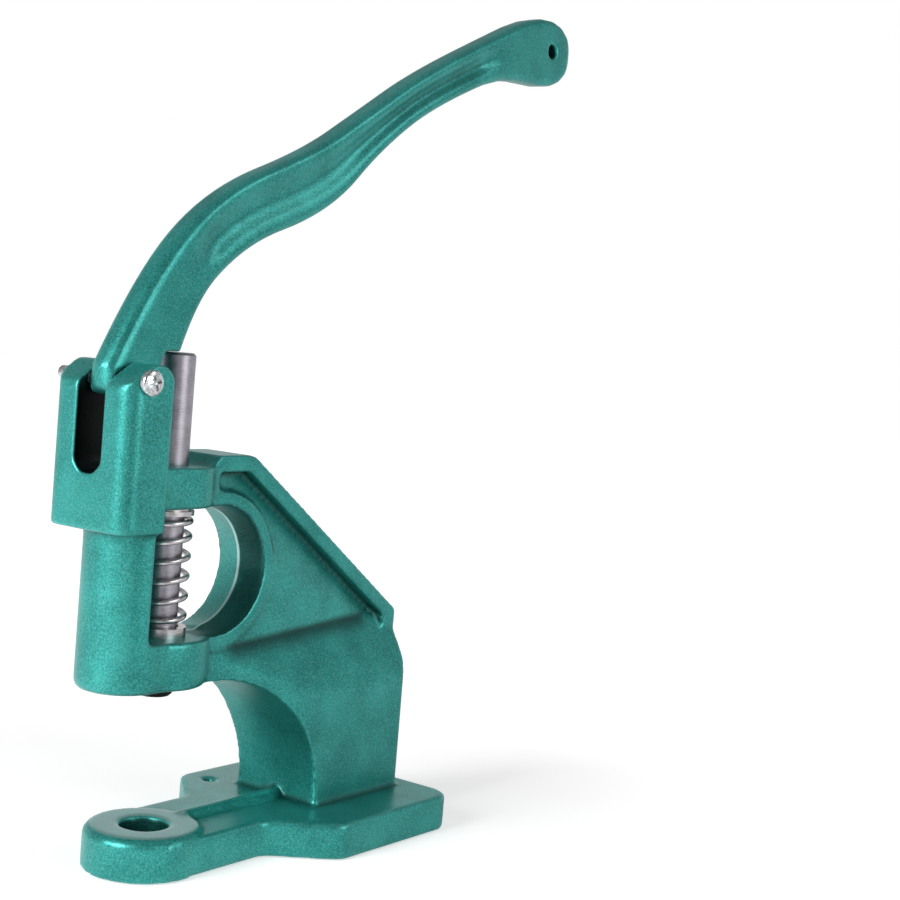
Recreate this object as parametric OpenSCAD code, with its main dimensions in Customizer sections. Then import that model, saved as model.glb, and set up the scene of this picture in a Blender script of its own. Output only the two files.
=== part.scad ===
// Hand lever press for setting snap buttons.
// Frame: X runs from the front to the rear, Z is up, the die axis stands at X = 0, Y = 0.

/* [Base] */
// Height of the base plate
base_h = 12.5; // [10:0.5:16]
// Half width of the base over its two wings
wing_half = 40; // [36:1:48]
// Where the straight side of a wing starts, behind the die axis
wing_x = 56; // [52:1:62]
// Rear edge of the base, behind the die axis
base_rear = 121; // [118:1:130]
// Radius of the rounded front of the base
nose_r = 20; // [19.5:0.5:23]
// Radius of the raised pad round the die socket
pad_r = 18.6; // [16:0.2:19.2]
// Height of the raised pad above the plate
pad_h = 1.8; // [1:0.2:2.4]
// Bore that takes the spigot of the lower die
socket_d = 16; // [12:0.5:20]
// Bolt hole in the far wing
bolt_d = 4.2; // [3:0.1:6]
// From the wing's side to the bolt hole
bolt_in = 11; // [8:0.5:14]

/* [Column and arm] */
// Half width of the column
column_half = 19; // [16:0.5:22]
// Rear face of the column, behind the die axis
column_rear = 113; // [108:1:114]
// Radius of the open throat
throat_r = 47.5; // [44:0.5:48]
// Clear height under the arm
throat_z = 62; // [60:1:70]
// Height of the shoulder's top above the throat, where it meets the web
shoulder_h = 17.5; // [16:0.5:20]
// How far the shoulder falls from the web out to the column's side
shoulder_fall = 22; // [18:0.5:26]
// Half thickness of the arm's rim and ring
rim_half = 11; // [9:0.5:12.5]
// Depth of the web under the rim, at the slope
web_depth = 5.2; // [3:0.2:6]
// Width of the rim, seen from the side
rim_w = 5.5; // [4:0.5:8]
// Wall of the ring round the hole in the arm
ring_wall = 4.6; // [3:0.2:6]

/* [Head] */
// Outer radius of the front post and the upper ram guide
guide_r = 15; // [13:0.5:16]
// Outer radius of the lower ram guide
lower_guide_r = 17; // [15.5:0.5:18]
// Height of the lower ram guide
lower_guide_h = 16.2; // [14:0.2:20]
// Height of the spring window between the guides
window_h = 43; // [41:0.5:48]
// Height of the upper ram guide
upper_guide_h = 13.5; // [11:0.5:16]
// Round of the head's lower edge
head_edge_r = 2.8; // [1:0.2:4]
// Half width of the fork
fork_half = 18.2; // [16.5:0.2:20]
// Length of the fork, front to rear
fork_len = 18.5; // [17:0.5:22]
// Width of the slot between the ears
slot_w = 12.2; // [11.5:0.1:13]
// Height of the pivot above the upper guide
pivot_rise = 27; // [25:0.5:32]

/* [Lever] */
// Thickness of the lever, free in the slot
lever_t = 11; // [9:0.5:11]
// Length of the shank that rises from the pivot
shank_len = 37; // [33:0.5:44]
// Length of the slim stretch before the grip end
grip_len = 65.5; // [50:0.5:90]
// Length of the flat grip end
paddle_len = 31.7; // [28:0.5:40]
// Round along the lever's edges
lever_edge_r = 2.8; // [1:0.2:3.4]
// Depth of the flute in each side of the handle
flute_depth = 2.6; // [0.8:0.1:3]
// Hole in the grip end
tip_hole_d = 5.6; // [4:0.2:8]

/* [Ram and pivot] */
// Diameter of the ram
ram_d = 12; // [10:0.5:13]
// Radial play of the ram in its guides
ram_play = 0.1; // [0.08:0.01:0.2]
// Diameter of the pivot screw's shank
pivot_d = 5; // [4:0.5:6]
// Radial play of the pivot screw in its holes
pivot_play = 0.1; // [0.08:0.01:0.2]
// Diameter of the pivot screw's head
head_d = 8.4; // [7.6:0.2:9]
// Thread the upper die screws into
die_thread_d = 6; // [5:1:8]
// Depth of that threaded hole
die_thread_depth = 14; // [8:1:20]

/* [Spring] */
// Wire of the return spring
wire_d = 2; // [1.6:0.1:2.2]
// Radial room between the ram and the inside of the spring
spring_room = 1; // [0.8:0.1:1.4]
// Open turns of the spring
open_turns = 4.75; // [4:0.25:5.25]
// Height of the seat ring under the spring
seat_h = 3; // [2:0.5:4]

/* [Hidden] */
$fn = 64;
green = [0.17, 0.55, 0.49];
steel = [0.62, 0.61, 0.63];
zinc = [0.85, 0.86, 0.87];

// Cutters run past a face, joined solids run into each other, flush rounds are set in
cut = 1;
lap = 2;
seam = 0.2;

// Steps of a corner's round and of the throat
corner_steps = 6;
throat_steps = 120;

// Heights of the head, from the throat up
head_drop = 0.5;
arm_rise = 3.5;
head_bottom = throat_z - head_drop;
window_z0 = head_bottom + lower_guide_h;
window_z1 = window_z0 + window_h;
guide_top = window_z1 + upper_guide_h;
head_tall = guide_top - head_bottom;
arm_top = guide_top + arm_rise;
mid_z = (window_z0 + window_z1) / 2;

// Plan of the head: a round front post, then the ram; the fork hangs on the post
post_x = -guide_r;
post_cover = 2.5;
window_front = post_x - post_cover;
fork_front = window_front - fork_len;
fork_drop = 7;
fork_bottom = window_z1 - fork_drop;
fork_corner_r = 6;
fork_rear_r = 1.2;

// Pivot in the ears; the ears rise from the front to their crown and are round at the rear
pivot_set = 7.5;
pivot_x = fork_front + pivot_set;
pivot_z = guide_top + pivot_rise;
ear_over = 1.4;
ear_top = pivot_z + head_d / 2 + ear_over;
crown_in = 9.6;
crown_x = fork_front + crown_in;
crown_r = 6;
ear_slope = 36;
ear_front_z = ear_top - crown_in * tan(ear_slope);
ear_front_r = 4;
ear_rear_r = 6.5;
slot_sink = 2.5;
slot_z = guide_top - slot_sink;
slot_flat = 0.6;

// Hole through the arm behind the ram, narrowest at the parting line
ring_x = 15.4;
ring_draft = 1.5;
ring_over = 0.4;
ring_r = window_h / 2 + ring_over;
ring_mid_r = ring_r - ring_draft;
ring_out_r = ring_r + ring_wall;

// Column, seen from the side
throat_cx = 17;
throat_cz = throat_z - throat_r;
throat_back = throat_cx + throat_r;
shoulder_z = throat_z + shoulder_h;
shoulder_low = shoulder_z - shoulder_fall;
shoulder_round = 25;
column_round = 4;
flare_round = 24;
flare_in = 8;
arm_swell = 0.6;
arm_half = rim_half + arm_swell;
arm_in = 8;
arm_start = guide_r - arm_in;
arm_bend_x = 29;
arm_bend_r = 7;
rim_foot = 1;
rim_foot_r = 3;
rim_foot_z = shoulder_z - rim_foot;
web_half = rim_half - web_depth;

// Ram, spring and the rings on it
ram_r = ram_d / 2;
ram_reach = 3.8;
ram_rise = 9.3;
ram_bottom = head_bottom - ram_reach;
ram_top = pivot_z + ram_rise;
ring_h = 1.2;
washer_h = 1.5;
stop_gap = 0.3;
ring_top = window_z1 - stop_gap;
washer_top = ring_top - ring_h;
spring_top = washer_top - washer_h;
spring_z0 = window_z0 + seat_h;
spring_len = spring_top - spring_z0;
coil_r = ram_r + spring_room + wire_d / 2;
coil_out = coil_r + wire_d / 2;
seat_play = 0.5;
washer_play = 0.1;
groove_depth = 0.9;
groove_r = ram_r - groove_depth;
ring_out = coil_r - seam;
ring_mouth = 7;

// Points of an arc, from angle a to angle b
function arc(c, r, a, b, n) =
    [for (i = [0 : n]) let (t = a + (b - a) * i / n) [c[0] + r * cos(t), c[1] + r * sin(t)]];

function flat(v) = [for (a = v) for (b = a) b];

function unit(v) = v / norm(v);

// A soft step from 0 to 1 as t goes from 0 to 1
function ease(t) = let (s = max(0, min(1, t))) s * s * (3 - 2 * s);

// One corner [x, y, radius] of an outline, as the points of its round
function corner(p, q, s, n) =
    let (
        at = [q[0], q[1]],
        u = unit([p[0], p[1]] - at),
        v = unit([s[0], s[1]] - at),
        half = acos(u * v) / 2,
        c = at + unit(u + v) * q[2] / sin(half),
        a = at + u * q[2] / tan(half),
        turn = sign(u[0] * v[1] - u[1] * v[0]) * 2 * (90 - half),
        start = atan2(a[1] - c[1], a[0] - c[0])
    )
    q[2] == 0 ? [at] : arc(c, q[2], start, start - turn, n);

function rounded(pts, n = corner_steps) =
    let (k = len(pts))
    flat([for (i = [0 : k - 1]) corner(pts[(i + k - 1) % k], pts[i], pts[(i + 1) % k], n)]);

// Stand an X-Z outline up as a plate, half thickness h to each side of Y = 0
module plate(h) {
    translate([0, h, 0])
        rotate([90, 0, 0])
            linear_extrude(height = 2 * h)
                children();
}

// A round pin or bore along Y, from y0 to y1
module along_y(x, z, r, y0, y1) {
    translate([x, y1, z])
        rotate([90, 0, 0])
            cylinder(r = r, h = y1 - y0);
}

// Skin a row of equal rings of points into one closed solid
module skin(rings) {
    n = len(rings[0]);
    last = (len(rings) - 1) * n;
    sides = flat([for (i = [0 : len(rings) - 2]) flat([for (j = [0 : n - 1])
        let (
            a = i * n + j,
            b = i * n + (j + 1) % n
        )
        [[a, a + n, b + n], [a, b + n, b]]])]);
    ends = flat([for (j = [1 : n - 2]) [[0, j, j + 1], [last, last + j + 1, last + j]]]);
    polyhedron(points = flat(rings), faces = concat(sides, ends));
}

// Base: rounded nose, neck, two wings
neck_in = 0.4;
neck_half = nose_r - neck_in;
neck_start = 6.7;
neck_front = -neck_start;
neck_x = 38.5;
neck_round = 6;
wing_round = 7;
rear_round = 10;
base_points = rounded([
    [neck_front, -neck_half, 0],
    [neck_x, -neck_half, neck_round],
    [wing_x, -wing_half, wing_round],
    [base_rear, -wing_half, rear_round],
    [base_rear, wing_half, rear_round],
    [wing_x, wing_half, wing_round],
    [neck_x, neck_half, neck_round],
    [neck_front, neck_half, 0]
]);

module base() {
    linear_extrude(height = base_h)
        polygon(base_points);
    cylinder(r = nose_r, h = base_h);
    cylinder(r = pad_r, h = base_h + pad_h);
    neck_rib();
}

// Low rib that runs from the pad to the foot of the column
rib_half = 4;
rib_top_half = 1.6;
rib_h = 2.8;
module neck_rib() {
    translate([pad_r - lap, 0, base_h])
        rotate([90, 0, 90])
            linear_extrude(height = throat_back - pad_r + 2 * lap)
                polygon([
                    [-rib_half, -lap],
                    [rib_half, -lap],
                    [rib_half, 0],
                    [rib_top_half, rib_h],
                    [-rib_top_half, rib_h],
                    [-rib_half, 0]
                ]);
}

// Column and lower arm: side outline with the round throat, plan, and shoulder sloping to both sides
column_points = [
    [arm_start, throat_cz + throat_r / 2],
    [arm_start, shoulder_z + cut],
    [column_rear, shoulder_z + cut],
    [column_rear, base_h / 2],
    [throat_cx, base_h / 2]
];
shoulder_points = rounded([
    [-column_half, 0, 0],
    [column_half, 0, 0],
    [column_half, shoulder_low, shoulder_round],
    [web_half, shoulder_z, 0],
    [-web_half, shoulder_z, 0],
    [-column_half, shoulder_low, shoulder_round]
]);

module column_plan() {
    half = column_half + seam;
    polygon(rounded([
        [0, -arm_half, 0],
        [guide_r, -arm_half, flare_round],
        [throat_back - flare_in, -half, flare_round],
        [column_rear, -half, column_round],
        [column_rear, half, column_round],
        [throat_back - flare_in, half, flare_round],
        [guide_r, arm_half, flare_round],
        [0, arm_half, 0]
    ]));
}

module column() {
    intersection() {
        plate(column_half + cut)
            difference() {
                polygon(column_points);
                translate([throat_cx, throat_cz])
                    circle(r = throat_r, $fn = throat_steps);
            }
        linear_extrude(height = shoulder_z + 2 * cut)
            column_plan();
        rotate([90, 0, 90])
            linear_extrude(height = column_rear + cut)
                polygon(shoulder_points);
    }
}

// Arm: a plate with a rim along its top and its slope, and a ring round the hole
slope = (arm_top - rim_foot_z) / (column_rear - arm_bend_x);
slope_drop = rim_w * sqrt(1 + slope * slope);
arm_sink = 13.5;
arm_z0 = shoulder_z - arm_sink;
arm_points = rounded([
    [arm_start, arm_z0, 0],
    [column_rear - cut, arm_z0, 0],
    [column_rear, rim_foot_z, rim_foot_r],
    [arm_bend_x, arm_top, arm_bend_r],
    [arm_start + arm_rise + lap, arm_top, 0],
    [arm_start, guide_top - lap, 0]
]);
pocket_sink = 8.9;
pocket_round = 4;
pocket_start = guide_r - lap;
pocket_z0 = shoulder_z - pocket_sink;
pocket_z1 = arm_top - rim_w;
pocket_x1 = arm_bend_x + (arm_top - slope_drop - pocket_z0) / slope;
pocket_x0 = arm_bend_x + (arm_top - slope_drop - pocket_z1) / slope;
pocket_points = rounded([
    [pocket_start, pocket_z0, 0],
    [pocket_x1, pocket_z0, pocket_round],
    [pocket_x0, pocket_z1, pocket_round],
    [pocket_start, pocket_z1, 0]
]);

// Everything outside a floor that lies this deep at a point and falls in one direction
module floor_cut(x, z, depth, way, tilt) {
    translate([x, rim_half - depth, z])
        rotate(a = tilt, v = [way[1], 0, -way[0]])
            translate([-column_rear, 0, -column_rear])
                cube([2 * column_rear, 2 * rim_half, 2 * column_rear]);
}

// One side's pocket: its floor falls from the ring, steeply to the sloping rim, gently to the shoulder
floor_run = 18;
floor_tilt = atan(web_depth / floor_run);
fall_way = -55;
fall_tilt = 4.1;
module pocket() {
    intersection() {
        translate([0, rim_half, 0])
            plate(rim_half)
                difference() {
                    polygon(pocket_points);
                    translate([ring_x, mid_z])
                        circle(r = ring_out_r);
                }
        union() {
            floor_cut(pocket_x1, pocket_z0, web_depth, [slope, 1], floor_tilt);
            floor_cut(ring_x + ring_out_r, mid_z, 0, [cos(fall_way), sin(fall_way)], fall_tilt);
        }
    }
}

module arm() {
    difference() {
        plate(rim_half)
            polygon(arm_points);
        for (side = [0, 1])
            mirror([0, side, 0])
                pocket();
    }
}

module ring_hole() {
    outer_r = ring_mid_r + ring_draft * column_half / rim_half;
    for (side = [-1, 1])
        translate([ring_x, 0, mid_z])
            rotate([side * 90, 0, 0])
                cylinder(r1 = ring_mid_r, r2 = outer_r, h = column_half);
}

// Head: the front post and the two guides stand on one rounded plan
function head_profile(r, h) = concat(
    [[0, 0]],
    arc([r - head_edge_r, head_edge_r], head_edge_r, -90, 0, corner_steps),
    [[r, h], [0, h]]
);

module head() {
    translate([0, 0, head_bottom]) {
        for (x = [post_x, 0])
            translate([x, 0, 0])
                rotate_extrude()
                    polygon(head_profile(guide_r, head_tall));
        rotate_extrude()
            polygon(head_profile(lower_guide_r, lower_guide_h + cut));
        translate([post_x, 0, 0])
            rotate([90, 0, 90])
                linear_extrude(height = -post_x)
                    for (side = [0, 1])
                        mirror([side, 0])
                            polygon(head_profile(guide_r - seam, head_tall));
    }
}

module window() {
    half = lower_guide_r + cut;
    translate([window_front, -half, window_z0])
        cube([half - window_front, 2 * half, window_h]);
}

// Fork: rounded front corners, ears with a crown
module fork() {
    intersection() {
        linear_extrude(height = ear_top + cut)
            polygon(rounded([
                [fork_front, -fork_half, fork_corner_r],
                [window_front, -fork_half, fork_rear_r],
                [window_front, fork_half, fork_rear_r],
                [fork_front, fork_half, fork_corner_r]
            ]));
        plate(fork_half + cut)
            polygon(rounded([
                [fork_front - seam, fork_bottom, 0],
                [window_front + seam, fork_bottom, 0],
                [window_front + seam, ear_top, ear_rear_r],
                [crown_x, ear_top, crown_r],
                [fork_front - seam, ear_front_z, ear_front_r]
            ]));
    }
}

module slot() {
    half = slot_w / 2;
    translate([fork_front - cut, 0, 0])
        rotate([90, 0, 90])
            linear_extrude(height = fork_len + 2 * lap)
                polygon(rounded([
                    [-half, slot_z, half - slot_flat],
                    [half, slot_z, half - slot_flat],
                    [half, ear_top + cut, 0],
                    [-half, ear_top + cut, 0]
                ]));
}

bolt_back = 4;
bolt_x = wing_x + bolt_back;
bolt_y = wing_half - bolt_in;
socket_chamfer = 0.6;

module frame() {
    color(green)
        difference() {
            union() {
                base();
                column();
                arm();
                head();
                fork();
            }
            window();
            ring_hole();
            slot();
            translate([0, 0, head_bottom - cut])
                cylinder(r = ram_r + ram_play, h = head_tall + 2 * cut);
            translate([0, 0, -cut])
                cylinder(d = socket_d, h = base_h + pad_h + 2 * cut);
            translate([0, 0, base_h + pad_h - socket_chamfer])
                cylinder(d1 = socket_d, d2 = socket_d + 4 * socket_chamfer, h = 2 * socket_chamfer);
            translate([bolt_x, bolt_y, -cut])
                cylinder(d = bolt_d, h = base_h + 2 * cut);
            along_y(pivot_x, pivot_z, pivot_d / 2 + pivot_play, -fork_half - cut, fork_half + cut);
        }
}

// Lever, measured from the pivot: where its spine starts, and half its depth there
start_x = 5.6;
start_z = -8.9;
start_half = 15.7;
spine_start = [start_x, start_z, start_half];

// Lengths of the stretches between the shank and the slim one, and half the depth after each stretch
bend_len = 39.9;
back_len = 46;
rise_len = 33.6;
neck_len = 39.1;
shank_half = 10.8;
bend_half = 10.5;
back_half = 11.6;
rise_half = 7.8;
slim_half = 7.2;
grip_half = 8.8;
tip_half = 24.5;

// How steeply each stretch rises
shank_up = 71.25;
bend_up = 46.2;
back_up = 21.3;
rise_up = 38.6;
neck_up = 33.7;
grip_up = 24.7;
tip_up = 0.8;

// The spine as stretches [length, angle, half depth at the end]
stretches = [
    [shank_len, shank_up, shank_half],
    [bend_len, bend_up, bend_half],
    [back_len, back_up, back_half],
    [rise_len, rise_up, rise_half],
    [neck_len, neck_up, slim_half],
    [grip_len, grip_up, grip_half],
    [paddle_len, tip_up, tip_half]
];
function spine_point(i) =
    i == 0 ? spine_start :
    let (
        p = spine_point(i - 1),
        s = stretches[i - 1]
    )
    [p[0] + s[0] * cos(s[1]), p[1] + s[0] * sin(s[1]), s[2]];

bends = len(stretches) - 1;
spine = [for (i = [0 : bends + 1]) spine_point(i)];
tip = [spine[bends + 1][0], spine[bends + 1][1]];
tip_run = 43.7;
tip_hole_in = 13.9;
tip_hole = tip - tip_hole_in * [cos(tip_up), sin(tip_up)];

// The bend at point i of the spine runs from the middle of one stretch to the middle of the next
function bend_start(i) = i == 1 ? spine[0] : (spine[i - 1] + spine[i]) / 2;
function bend_end(i) = i == bends ? spine[bends + 1] : (spine[i] + spine[i + 1]) / 2;
function bend_at(i, t) =
    bend_start(i) * (1 - t) * (1 - t) + spine[i] * 2 * t * (1 - t) + bend_end(i) * t * t;
function bend_way(i, t) =
    let (d = (spine[i] - bend_start(i)) * (1 - t) + (bend_end(i) - spine[i]) * t)
    unit([d[0], d[1]]);

// Section: edges, fuller at the pivot end, and a flute from behind the bend to before the grip end
pivot_edge_r = 4.5;
pivot_edge_run = 45;
flute_from = 27;
flute_short = 46;
flute_run = 12;
flute_steps = 6;
edge_step = 30;
function side_profile(h, w, e, f) = concat(
    [for (a = [-90 : edge_step : 0]) [e - h + e * sin(a), w - e + e * cos(a)]],
    [for (k = [1 : flute_steps - 1])
        [(h - e) * (2 * k / flute_steps - 1), w - f * (1 - cos(360 * k / flute_steps)) / 2]],
    [for (a = [0 : edge_step : 90]) [h - e + e * sin(a), w - e + e * cos(a)]]
);
function rounding(d, r) = sqrt(1 - pow(max(0, 1 - d / r), 2));
function lever_ring(i, t) =
    let (
        c = bend_at(i, t),
        way = bend_way(i, t),
        left = norm(tip - [c[0], c[1]]),
        h = c[2] * rounding(left, tip_run),
        w = lever_t / 2 - lever_edge_r * (1 - rounding(left, lever_edge_r)),
        swell = (pivot_edge_r - lever_edge_r) * (1 - ease(c[0] / pivot_edge_run)),
        e = min(lever_edge_r + swell, h / 2, w - cut),
        f = flute_depth * ease((c[0] - flute_from) / flute_run)
            * ease((tip[0] - flute_short - c[0]) / flute_run),
        p = side_profile(h, w, e, f),
        n = len(p)
    )
    [for (k = [0 : 2 * n - 1])
        let (
            q = k < n ? p[k] : p[2 * n - 1 - k],
            y = k < n ? -q[1] : q[1]
        )
        [c[0] - way[1] * q[0], y, c[1] + way[0] * q[0]]];

ring_steps = 9;
last_step = 0.994;
lever_rings = concat(
    flat([for (i = [1 : bends]) [for (k = [0 : ring_steps - 1])
        let (t = k / ring_steps) lever_ring(i, i == bends ? t * (2 - t) : t)]]),
    [lever_ring(bends, last_step)]
);

// Trim of the pivot end: short front, and a notch whose upper face is the toe that presses the ram
end_r = 5.2;
trim_top = 4;
trim_out = 40;
toe_gap = 0.3;
notch_room = 4.4;
notch_in = 3.8;
notch_foot = -3.5;
notch_r = 1.5;
toe_z = ram_rise + toe_gap;
notch_x = -pivot_x - ram_r - notch_room;
trim_points = rounded([
    [-end_r, trim_top, 0],
    [-end_r, -end_r, end_r - seam],
    [end_r, -end_r, 2 * notch_r],
    [notch_x - notch_in, notch_foot, notch_r],
    [notch_x, toe_z, notch_r],
    [trim_out, toe_z, 0],
    [trim_out, -trim_out, 0],
    [-trim_out, -trim_out, 0],
    [-trim_out, trim_top, 0]
]);

// The front of the pivot end is rounded across its thickness
nose_end_r = 7.5;
nose_end_x = nose_end_r - end_r;
module round_nose(half) {
    translate([0, 0, -trim_out])
        linear_extrude(height = trim_out + trim_top)
            difference() {
                translate([-trim_out, -half])
                    square([trim_out + nose_end_x, 2 * half]);
                translate([nose_end_x, 0])
                    circle(r = nose_end_r);
            }
}

module lever() {
    half = lever_t / 2 + cut;
    color(green)
        translate([pivot_x, 0, pivot_z])
            difference() {
                skin(lever_rings);
                plate(half)
                    polygon(trim_points);
                round_nose(half);
                along_y(0, 0, pivot_d / 2 + pivot_play, -half, half);
                along_y(tip_hole[0], tip_hole[1], tip_hole_d / 2, -half, half);
            }
}

// Pivot screw: domed head with a cross recess on the near side, end standing out of the far ear
cap_h = 2.6;
cap_side = 1.1;
recess_w = 1.1;
recess_len = 5;
recess_depth = 1.3;
recess_turn = 20;
screw_out = 4;
screw_chamfer = 0.6;
dome_step = 15;
module pivot_screw() {
    shank = 2 * fork_half + screw_out;
    color(zinc)
        translate([pivot_x, -fork_half, pivot_z])
            rotate([90, 0, 0])
                difference() {
                    union() {
                        rotate_extrude()
                            polygon(concat(
                                [[0, 0], [head_d / 2, 0]],
                                [for (a = [0 : dome_step : 90])
                                    [head_d / 2 * cos(a), cap_side + (cap_h - cap_side) * sin(a)]]
                            ));
                        translate([0, 0, screw_chamfer - shank])
                            cylinder(d = pivot_d, h = shank);
                        translate([0, 0, -shank])
                            cylinder(d1 = pivot_d - 2 * screw_chamfer, d2 = pivot_d, h = screw_chamfer);
                    }
                    for (turn = [recess_turn, recess_turn + 90])
                        rotate([0, 0, turn])
                            translate([-recess_len / 2, -recess_w / 2, cap_h - recess_depth])
                                cube([recess_len, recess_w, recess_depth + cut]);
                }
}

// Ram: turned rod, chamfered ends, ring groove, threaded hole for the upper die
ram_chamfer = 0.8;
module ram() {
    color(steel)
        difference() {
            union() {
                translate([0, 0, ram_bottom])
                    cylinder(r1 = ram_r - ram_chamfer, r2 = ram_r, h = ram_chamfer);
                translate([0, 0, ram_bottom + ram_chamfer])
                    cylinder(r = ram_r, h = ram_top - ram_bottom - 2 * ram_chamfer);
                translate([0, 0, ram_top - ram_chamfer])
                    cylinder(r1 = ram_r, r2 = ram_r - ram_chamfer, h = ram_chamfer);
            }
            translate([0, 0, ram_bottom - cut])
                cylinder(d = die_thread_d, h = die_thread_depth + cut);
            translate([0, 0, washer_top])
                difference() {
                    cylinder(r = ram_r + cut, h = ring_h);
                    translate([0, 0, -cut])
                        cylinder(r = groove_r, h = ring_h + 2 * cut);
                }
        }
}

// A flat ring round the ram, standing at height z
module collar(z, r, bore, h) {
    translate([0, 0, z])
        difference() {
            cylinder(r = r, h = h);
            translate([0, 0, -cut])
                cylinder(r = bore, h = h + 2 * cut);
        }
}

module spring_seat() {
    color(steel)
        collar(window_z0, coil_out, ram_r + seat_play, seat_h);
}

module spring_washer() {
    color(steel)
        collar(spring_top, coil_out, ram_r + washer_play, washer_h);
}

// Open retaining ring, pushed into the groove from the rear
module retaining_ring() {
    color(steel)
        difference() {
            collar(washer_top, ring_out, groove_r, ring_h);
            translate([0, -ring_mouth / 2, washer_top - cut])
                cube([ring_out + cut, ring_mouth, ring_h + 2 * cut]);
        }
}

// Spring: closed ends, open middle, wound as one tube
end_turns = 0.75;
end_gap = 0.6;
end_pitch = wire_d + end_gap;
open_pitch = (spring_len - wire_d - 2 * end_turns * end_pitch) / open_turns;
all_turns = open_turns + 2 * end_turns;
rings_per_turn = 8;
wire_sides = 6;
wire_rings = round(all_turns * rings_per_turn);

// Height of the wire's centre after t turns
function rise(t) =
    wire_d / 2 + end_pitch * (min(t, end_turns) + max(0, t - end_turns - open_turns))
    + open_pitch * max(0, min(t - end_turns, open_turns));

function wire_ring(i) =
    let (
        t = all_turns * i / wire_rings,
        a = 360 * t
    )
    [for (j = [0 : wire_sides - 1])
        let (
            b = 360 * j / wire_sides,
            r = coil_r + wire_d / 2 * cos(b)
        )
        [r * cos(a), r * sin(a), rise(t) + wire_d / 2 * sin(b)]];

spring_rings = [for (i = [0 : wire_rings]) wire_ring(i)];

// Least gap of the spring to itself, between points at least half a turn apart
wire_gap = min([for (i = [0 : wire_rings - rings_per_turn / 2])
    for (j = [i + rings_per_turn / 2 : wire_rings])
        for (p = spring_rings[i])
            for (q = spring_rings[j]) norm(p - q)]);
echo(spring_gap_to_itself = wire_gap);

module return_spring() {
    color(steel)
        translate([0, 0, spring_z0])
            skin(spring_rings);
}

frame();
lever();
pivot_screw();
ram();
return_spring();
spring_seat();
spring_washer();
retaining_ring();
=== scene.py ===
import math

import bmesh
import bpy
from mathutils import Matrix, Vector


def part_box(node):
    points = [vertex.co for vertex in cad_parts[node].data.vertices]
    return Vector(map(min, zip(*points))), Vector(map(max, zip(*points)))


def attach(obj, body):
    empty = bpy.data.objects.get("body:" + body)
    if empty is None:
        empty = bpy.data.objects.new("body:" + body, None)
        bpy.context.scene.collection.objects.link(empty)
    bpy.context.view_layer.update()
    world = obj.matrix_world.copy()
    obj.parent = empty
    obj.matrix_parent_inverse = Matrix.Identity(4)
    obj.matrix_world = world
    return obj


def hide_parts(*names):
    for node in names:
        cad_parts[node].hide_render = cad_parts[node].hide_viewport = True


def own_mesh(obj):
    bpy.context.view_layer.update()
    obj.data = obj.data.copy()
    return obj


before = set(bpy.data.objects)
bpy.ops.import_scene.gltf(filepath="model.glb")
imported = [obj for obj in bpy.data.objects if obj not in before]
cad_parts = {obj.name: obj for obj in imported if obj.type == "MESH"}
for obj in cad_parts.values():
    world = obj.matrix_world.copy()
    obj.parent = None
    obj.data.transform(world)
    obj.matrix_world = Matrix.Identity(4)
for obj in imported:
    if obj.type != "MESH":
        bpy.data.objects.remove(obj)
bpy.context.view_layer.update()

# Stage: a plain white floor in a white room that is darker overhead and on the side of the lens.
# One large soft lamp stands on the left and two weaker ones on the right. The lens is long and
# stands at the height of the head, turned a little about its own line of sight.
MM = 0.001
scene = bpy.context.scene
scene.view_settings.view_transform = "Standard"


def plug(socket, value):
    """Link a shade to an input, or set the input to a plain value."""
    if isinstance(value, Shade):
        value.tree.links.new(value.socket, socket)
    else:
        socket.default_value = value


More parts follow.
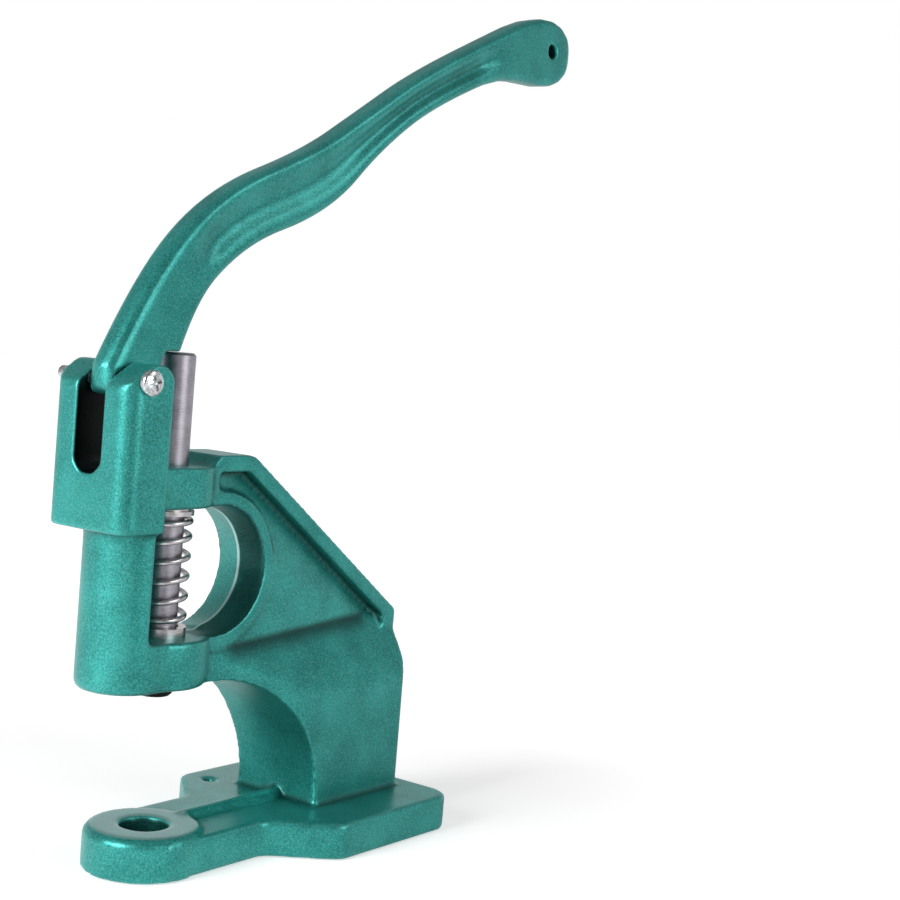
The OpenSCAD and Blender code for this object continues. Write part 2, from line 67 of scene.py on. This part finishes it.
class Shade:
    """A socket of a node tree. Arithmetic on sockets adds the nodes that work it out."""

    def __init__(self, tree, socket=None):
        self.tree = tree
        self.socket = socket

    def node(self, kind, inputs=None, out=0, **settings):
        """Add a node with its settings and its inputs, and give one of its outputs."""
        made = self.tree.nodes.new("ShaderNode" + kind)
        for name, value in settings.items():
            setattr(made, name, value)
        for name, value in (inputs or {}).items():
            plug(made.inputs[name], value)
        return Shade(self.tree, made.outputs[out])

    def work_out(self, operation, first, second=0.0):
        """One step of arithmetic."""
        return self.node("Math", {0: first, 1: second}, operation=operation)

    def __add__(self, other):
        return self.work_out("ADD", self, other)

    __radd__ = __add__

    def __sub__(self, other):
        return self.work_out("SUBTRACT", self, other)

    def __rsub__(self, other):
        return self.work_out("SUBTRACT", other, self)

    def __mul__(self, other):
        return self.work_out("MULTIPLY", self, other)

    __rmul__ = __mul__

    def __abs__(self):
        return self.work_out("ABSOLUTE", self)

    def greater(self, other):
        """The greater of the two."""
        return self.work_out("MAXIMUM", self, other)

    def axis(self, name):
        """The X, Y or Z of a place or a direction."""
        return self.node("SeparateXYZ", {0: self}, out=name)

    def vector(self, operation, second=(0, 0, 0), out="Vector"):
        """One step of vector arithmetic, on this and a second vector."""
        return self.node("VectorMath", {0: self, 1: second}, out, operation=operation)

    def along(self, direction):
        """How far a place or a direction goes along this direction."""
        return self.vector("DOT_PRODUCT", direction, out="Value")

    def reach(self, axes=(1, 1, 1)):
        """The distance from the origin, counting only the axes given as 1."""
        return self.vector("MULTIPLY", axes).vector("LENGTH", out="Value")

    def step(self, low, high):
        """0 below low, 1 above high, soft between."""
        return self.node("MapRange", {"Value": self, "From Min": low, "From Max": high},
                         interpolation_type="SMOOTHSTEP")

    def fall(self, low, high):
        """1 below low, 0 above high, soft between."""
        return 1 - self.step(low, high)

    def mix(self, first, second, most=1.0):
        """The first colour where this is 0. Where it is 1, this much of the second."""
        return self.node("Mix", {0: most * self, 6: first, 7: second}, out=2, data_type="RGBA")

    def noise(self, size, detail=2.0, rough=0.5):
        """Soft noise with spots of about this size, on these coordinates."""
        return self.node("TexNoise", {"Vector": self, "Scale": 1 / size, "Detail": detail,
                                      "Roughness": rough})

    def bump(self, strength, distance, **under):
        """A normal that follows this height, over another normal if one is given."""
        return self.node("Bump", {"Height": self, "Strength": strength, "Distance": distance, **under})


def light_paths(tree):
    """Two masks: what the lens sees, directly or through a clear piece, and what shines back."""
    camera_ray, clear, glossy = (Shade(tree).node("LightPath", out=name) for name in (
        "Is Camera Ray", "Is Transmission Ray", "Is Glossy Ray"))
    return camera_ray.greater(clear), glossy


def grey(value):
    """A colour without a tint, from 0, black, to 1, white."""
    return (value, value, value, 1)


# The room: how bright its dark and light sides are, between which slopes it darkens overhead, and
# what share of it lights the press. All of it shows in the shine.
AWAY_FROM_LENS, DARK_TO_LIGHT = (0.7, 0.714, 0), (-0.35, 0.6)
ROOM_DARK, ROOM_LIGHT = 0.24, 0.92
OVERHEAD, OVERHEAD_LOSS = (0.15, 0.55), 0.85
LIT_SHARE = 0.5
world = bpy.data.worlds.new("sky")
scene.world = world
world.use_nodes = True
sky = world.node_tree
sky.nodes.clear()
shown, glossy = light_paths(sky)
towards = Shade(sky).node("TexCoord", out="Generated")
behind = towards.along(AWAY_FROM_LENS).step(*DARK_TO_LIGHT)
overhead = towards.axis("Z").step(*OVERHEAD)
room = ROOM_DARK + (ROOM_LIGHT - ROOM_DARK) * behind * (1 - OVERHEAD_LOSS * overhead)
strength = shown.greater(room * (LIT_SHARE + (1 - LIT_SHARE) * glossy))
light = strength.node("Background", {"Color": grey(1), "Strength": strength})
plug(sky.nodes.new("ShaderNodeOutputWorld").inputs["Surface"], light)


def blank(name):
    """A new material: its surface shader, and the place on the piece in metres."""
    material = bpy.data.materials.new(name)
    material.use_nodes = True
    tree = material.node_tree
    return material, tree.nodes["Principled BSDF"], Shade(tree).node("TexCoord", out="Object")


def feed(shader, **sockets):
    """Set or link the named inputs of a surface shader."""
    for name, value in sockets.items():
        plug(shader.inputs[name.replace("_", " ")], value)


# The floor lies a hair under the base, whose rounded lower edge then shows clean. The shadow falls
# on the part near the press; farther out the floor is plain white. In the shine of the paint it is
# duller from the press to the right, and bright again beyond.
FLOOR_HALF, FLOOR_DROP = 4, 0.5 * MM
NEAR_TO_FAR, NEAR_GLOW = (0.15, 0.4), 0.52
RIGHT_OF_LENS = (0.8, -0.6, 0)
DULL_FROM, DULL_LOSS = (-0.15, 0.15), 0.85
BRIGHT_FROM, BRIGHT_GAIN = (0.2, 0.4), 0.55
floor_mesh = bpy.data.meshes.new("floor")
floor_mesh.from_pydata([(-FLOOR_HALF, -FLOOR_HALF, 0), (FLOOR_HALF, -FLOOR_HALF, 0),
                        (FLOOR_HALF, FLOOR_HALF, 0), (-FLOOR_HALF, FLOOR_HALF, 0)], [], [(0, 1, 2, 3)])
floor = bpy.data.objects.new("floor", floor_mesh)
floor.location.z = -FLOOR_DROP
scene.collection.objects.link(floor)
floor_white, floor_shader, floor_place = blank("floor_white")
floor_shown, floor_glossy = light_paths(floor_white.node_tree)
far_out = floor_place.reach().step(*NEAR_TO_FAR)
to_right = floor_place.along(RIGHT_OF_LENS)
shine = 1 - DULL_LOSS * to_right.step(*DULL_FROM) + BRIGHT_GAIN * to_right.step(*BRIGHT_FROM)
glow = (floor_shown * (NEAR_GLOW + (1 - NEAR_GLOW) * far_out)).greater(floor_glossy * shine)
feed(floor_shader, Base_Color=far_out.mix(grey(0.9), grey(0.4)), Roughness=0.9, Specular_IOR_Level=0.1,
     Emission_Color=glow.mix(grey(0), grey(1)), Emission_Strength=1.0)
floor_mesh.materials.append(floor_white)


def lamp(name, at, look, size, power):
    """A square soft lamp at a place, turned to a point, both in metres."""
    data = bpy.data.lights.new(name, "AREA")
    data.size = size
    data.energy = power
    made = bpy.data.objects.new(name, data)
    made.location = at
    made.rotation_euler = (Vector(look) - Vector(at)).to_track_quat("-Z", "Y").to_euler()
    scene.collection.objects.link(made)


PRESS_MIDDLE, LEVER_MIDDLE = (0.05, 0, 0.14), (0.1, 0, 0.25)
lamp("lamp_left", at=(-0.92, 0.1, 0.48), look=PRESS_MIDDLE, size=0.45, power=9.4)
lamp("lamp_right", at=(0.16, -0.95, 0.34), look=PRESS_MIDDLE, size=0.5, power=2.9)
lamp("lamp_over", at=(0.52, -0.73, 0.7), look=LEVER_MIDDLE, size=0.3, power=0.9)

# The lens: where it stands round the press, how it is turned, and how far off the die axis it looks
azimuth, elevation, turn = (math.radians(degrees) for degrees in (-53.968, 3.883, 4.802))
distance, aside, below = 0.54842, -0.09426, -0.03829
die_axis = Vector((0, 0, 0.1))
back = Vector((math.sin(azimuth) * math.cos(elevation), -math.cos(azimuth) * math.cos(elevation),
               math.sin(elevation)))
level = Vector((math.cos(azimuth), math.sin(azimuth), 0))
upright = back.cross(level)
right = level * math.cos(turn) + upright * math.sin(turn)
above = upright * math.cos(turn) - level * math.sin(turn)
lens = bpy.data.cameras.new("lens")
lens.lens = 66.886
lens.sensor_width = 36
lens.clip_start = 0.01
camera = bpy.data.objects.new("lens", lens)
camera.matrix_world = Matrix((right, above, back)).transposed().to_4x4()
camera.location = die_axis + back * distance - right * aside - above * below
scene.collection.objects.link(camera)
scene.camera = camera

# Frame: one iron casting, cast in sand, with soft edges all over. It is painted with a glossy green
# enamel full of fine metal flake. Its edges are a little paler, partly wear and partly painted
# highlight, and its corners and hollows are darker with painted shade. The walls of the slot are
# coloured near black, without the metal or the coat of the enamel.
ENAMEL_METAL, ENAMEL_COAT, POLISH_COAT = 0.65, 0.18, 0.42


def paint(red, green, blue):
    """A colour as seen on a screen, 0 to 255, as the shader's linear values."""
    return tuple(((v / 255 + 0.055) / 1.055) ** 2.4 if v > 10 else v / 255 / 12.92
                 for v in (red, green, blue)) + (1.0,)


def enamel(name):
    """Green enamel, with what a piece needs to paint over it: shader, place, colour and bump."""
    deep, bright, glint = paint(30, 118, 112), paint(62, 172, 165), paint(120, 210, 202)
    worn_edge_highlight, painted_corner_shade, painted_hollow_shade = paint(120, 205, 197), paint(6, 54, 50), paint(6, 44, 41)
    material, shader, place = blank(name)
    cloud = place.noise(14 * MM, detail=3.0)
    grain = place.noise(0.5 * MM, detail=3.0, rough=0.6)
    dent = place.noise(0.8 * MM, detail=2.0)
    cell = place.node("TexVoronoi", {"Vector": place, "Scale": 1 / (0.5 * MM)}, out="Color")
    flake = cell.node("SeparateColor", {0: cell}, out="Red")
    edge = place.node("NewGeometry", out="Pointiness")
    open_to = place.node("AmbientOcclusion", {"Distance": 7 * MM}, out="AO", samples=8, only_local=True)
    colour = (0.7 * grain + 0.3 * cloud).step(0.32, 0.68).mix(deep, bright)
    colour = flake.step(0.6, 1.0).mix(colour, glint, most=0.2)
    # Convex edges are paler, partly worn thin and partly a painted highlight. Corners and occluded
    # hollows get painted shade.
    colour = edge.step(0.51, 0.57).mix(colour, worn_edge_highlight, most=0.22)
    colour = edge.fall(0.465, 0.497).mix(colour, painted_corner_shade, most=0.75)
    colour = open_to.fall(0.25, 0.85).mix(colour, painted_hollow_shade, most=0.8)
    bump = (0.7 * dent + 0.3 * grain).bump(strength=0.25, distance=0.25 * MM)
    feed(shader, Base_Color=colour, Roughness=0.3 + 0.14 * grain, Metallic=ENAMEL_METAL,
         Coat_Weight=ENAMEL_COAT, Coat_Roughness=0.25, Specular_IOR_Level=0.2,
         Specular_Tint=(0.8, 0.95, 0.95, 1), Normal=bump)
    return material, shader, place, colour, bump


def dress(node, material):
    """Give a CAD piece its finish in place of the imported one."""
    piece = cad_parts[node]
    piece.data.materials.clear()
    piece.data.materials.append(material)
    return piece


def cast_edges(piece, grain, passes):
    """Round a casting's edges and corners: an even skin of small faces, then smoothing."""
    skin = piece.modifiers.new("skin", "REMESH")
    skin.mode = "VOXEL"
    skin.voxel_size = grain
    skin.use_smooth_shade = True
    smooth = piece.modifiers.new("soft_edges", "SMOOTH")
    smooth.factor = 0.5
    smooth.iterations = passes


green, green_shader, place, colour, bump = enamel("frame_enamel")
lengthwise, across, height = (place.axis(name) for name in "XYZ")
off_middle = abs(across)

# The slot between the ears, whose walls are coloured near black. Each pair of lengths, here and below,
# is where a mask starts and ends.
SLOT_SIDE, SLOT_FLOOR = (6.2 * MM, 6.7 * MM), (130 * MM, 131 * MM)
SLOT_FRONT, SLOT_BACK = (-36 * MM, -35.2 * MM), (-18.5 * MM, -17.5 * MM)
in_slot = off_middle.fall(*SLOT_SIDE) * height.step(*SLOT_FLOOR)
in_slot = in_slot * lengthwise.step(*SLOT_FRONT) * lengthwise.fall(*SLOT_BACK)

# The ring hole: its two tapered halves meet in a ridge, painted pale as a highlight, and the near half
# has painted shade
RING_CENTRE = (15.4 * MM, 0, 99.2 * MM)
RING_WALL, RING_SIDE, RING_SEAM_HIGHLIGHT = (22.2 * MM, 22.8 * MM), (10 * MM, 10.7 * MM), (0.3 * MM, 0.8 * MM)
RING_NEAR_SHADE, RING_TAPER = (-1 * MM, 0), 0.16
from_ring = place.vector("SUBTRACT", RING_CENTRE).reach((1, 0, 1))
in_ring = from_ring.fall(*RING_WALL) * off_middle.fall(*RING_SIDE)
colour = (in_ring * across.fall(*RING_NEAR_SHADE)).mix(colour, paint(8, 48, 44), most=0.62)
colour = (in_ring * off_middle.fall(*RING_SEAM_HIGHLIGHT)).mix(colour, paint(205, 235, 232), most=0.8)
ridge = (-RING_TAPER * off_middle * in_ring).bump(strength=1.0, distance=1.0, Normal=bump)

# The die socket, with painted shade inside, and the pad round it, with a pale painted sheen on its top
SOCKET_WALL, SOCKET_TOP = (10 * MM, 10.4 * MM), (13 * MM, 13.6 * MM)
PAD_RIM, PAD_FOOT, BASE_LIMIT = (17.5 * MM, 18.6 * MM), (13.7 * MM, 14.1 * MM), (20 * MM, 21 * MM)
from_socket = place.reach((1, 1, 0))
on_pad = from_socket.fall(*PAD_RIM)
low_down = height.fall(*BASE_LIMIT)
in_socket = from_socket.fall(*SOCKET_WALL) * height.fall(*SOCKET_TOP)
colour = in_socket.mix(colour, paint(6, 40, 37), most=0.75)
# A pale painted sheen on the top of the pad.
pad_top_sheen = on_pad * height.step(*PAD_FOOT) * low_down
colour = pad_top_sheen.mix(colour, paint(180, 205, 206), most=0.4)

# The foot of the web, with painted shade that darkens down to the crease over the shoulder. The crease
# rises backwards.
CREASE_RISE, CREASE_HEIGHT = 0.0623, 70.76 * MM
CREASE_ABOVE, CREASE_BELOW = (0.2 * MM, 3 * MM), (-9 * MM, 0)
CREASE_FRONT, CREASE_BACK = (19 * MM, 27 * MM), (94 * MM, 101 * MM)
over_crease = height - CREASE_RISE * lengthwise - CREASE_HEIGHT
rise = over_crease.step(*CREASE_BELOW)
painted_crease_shade = rise * rise * over_crease.fall(*CREASE_ABOVE)
painted_crease_shade = painted_crease_shade * lengthwise.step(*CREASE_FRONT) * lengthwise.fall(*CREASE_BACK)
colour = painted_crease_shade.mix(colour, paint(4, 44, 41), most=0.8)

# The pad and the far half of the base's top have a thicker gloss
FAR_HALF, FACING_UP = (-2 * MM, 2 * MM), (0.85, 0.97)
upward = place.node("NewGeometry", out="Normal").axis("Z").step(*FACING_UP) * low_down
polished = (upward * across.step(*FAR_HALF)).greater(upward * on_pad)
painted = 1 - in_slot
feed(green_shader, Base_Color=in_slot.mix(colour, paint(4, 9, 10)), Metallic=ENAMEL_METAL * painted,
     Coat_Weight=ENAMEL_COAT * painted + POLISH_COAT * polished, Normal=ridge)
cast_edges(dress("frame", green), grain=0.9 * MM, passes=7)

# Lever: a second iron casting in the same enamel, swung on the pivot screw between the ears.
# Its sides are fluted between the shank and the flat grip end.
cast_edges(dress("lever", enamel("lever_enamel")[0]), grain=0.7 * MM, passes=8)


# Ram: a turned and polished steel rod, coloured near black at the end that takes the upper die. It
# slides in the two guides of the head, and the lever's toe pushes it down.
def bare_steel(name, tint, rough, scratch):
    """Steel with fine lines round it: the material, its shader, the place and the colour."""
    material, shader, place = blank(name)
    stretched = place.node("Mapping", {"Vector": place, "Scale": (0.12, 0.12, 1.0)})
    lines = stretched.noise(scratch, detail=4.0, rough=0.65)
    haze = place.noise(5 * MM, detail=3.0)
    dull = tuple(0.55 * v for v in tint[:3]) + (1.0,)
    colour = (0.5 * lines + 0.5 * haze).step(0.3, 0.7).mix(dull, tint)
    feed(shader, Base_Color=colour, Roughness=rough + 0.25 * haze, Metallic=1.0,
         Normal=lines.bump(strength=0.2, distance=0.05 * MM))
    return material, shader, place, colour


def ease(piece, width):
    """Take the sharp edge off a machined piece, and shade its rounds smooth."""
    bevel = piece.modifiers.new("eased_edges", "BEVEL")
    bevel.width = width
    bevel.segments = 2
    bevel.limit_method = "ANGLE"
    bevel.angle_limit = math.radians(30)
    bevel.harden_normals = True


BLACK_END = (61 * MM, 63 * MM)
rod_steel, rod_shader, rod_place, rod_colour = bare_steel(
    "ram_steel", tint=paint(176, 172, 181), rough=0.28, scratch=0.25 * MM)
dark_lower_end = rod_place.axis("Z").fall(*BLACK_END)
feed(rod_shader, Base_Color=dark_lower_end.mix(rod_colour, paint(34, 33, 34)))
ease(dress("ram", rod_steel), width=0.15 * MM)

# Return spring: round steel wire, wound with closed ends. It stands on the seat ring under the
# washer.
SPRING_LOW, SPRING_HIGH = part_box("spring_seat")[1][2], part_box("spring_washer")[0][2]
WIRE_R, COIL_R = 1.0 * MM, 8.0 * MM
TURNS, END_TURNS, END_PITCH = 6.25, 0.75, 2.6 * MM
OPEN_TURNS = TURNS - 2 * END_TURNS
OPEN_PITCH = (SPRING_HIGH - SPRING_LOW - 2 * WIRE_R - 2 * END_TURNS * END_PITCH) / OPEN_TURNS
RINGS, SIDES = 240, 14
spring_steel = bare_steel("spring_steel", tint=paint(214, 210, 212), rough=0.16, scratch=0.4 * MM)[0]


def wire_height(turns):
    """Height of the wire's middle after so many turns from the lower end."""
    close = min(turns, END_TURNS) + max(0, turns - TURNS + END_TURNS)
    open_turns = max(0, min(turns - END_TURNS, OPEN_TURNS))
    return SPRING_LOW + WIRE_R + close * END_PITCH + open_turns * OPEN_PITCH


wound = bmesh.new()
previous = None
for i in range(RINGS + 1):
    turns = TURNS * i / RINGS
    round_coil = 2 * math.pi * turns
    ring = []
    for k in range(SIDES):
        round_wire = 2 * math.pi * k / SIDES
        r = COIL_R + WIRE_R * math.cos(round_wire)
        z = wire_height(turns) + WIRE_R * math.sin(round_wire)
        ring.append(wound.verts.new((r * math.cos(round_coil), r * math.sin(round_coil), z)))
    if previous:
        for k in range(SIDES):
            after = (k + 1) % SIDES
            side = wound.faces.new((previous[k], ring[k], ring[after], previous[after]))
            side.smooth = True
    else:
        wound.faces.new(ring)
    previous = ring
wound.faces.new(reversed(previous))
bmesh.ops.recalc_face_normals(wound, faces=wound.faces)
spring_mesh = bpy.data.meshes.new("spring_wire")
wound.to_mesh(spring_mesh)
wound.free()
spring = bpy.data.objects.new("spring_wire", spring_mesh)
scene.collection.objects.link(spring)
spring_mesh.materials.append(spring_steel)
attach(spring, "frame_body")
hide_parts("return_spring")
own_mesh(spring)

# Seat ring, washer and retaining ring: small steel rings round the ram that hold the spring. The
# seat stays on the lower guide, and the other two go down with the ram.
for node in ("spring_seat", "spring_washer", "retaining_ring"):
    ease(dress(node, spring_steel), width=0.2 * MM)

# Pivot screw: a zinc-plated screw with a domed head and a cross recess. It is put in from the near
# side, carries the lever between the ears, and its end stands out of the far one.
zinc, zinc_shader, zinc_place = blank("zinc")
spots = zinc_place.noise(0.9 * MM, detail=3.0)
zinc_colour = spots.step(0.35, 0.65).mix(paint(178, 182, 184), paint(228, 232, 234))
feed(zinc_shader, Base_Color=zinc_colour, Roughness=0.14 + 0.2 * spots, Metallic=1.0,
     Normal=spots.bump(strength=0.25, distance=0.1 * MM))
ease(dress("pivot_screw", zinc), width=0.12 * MM)
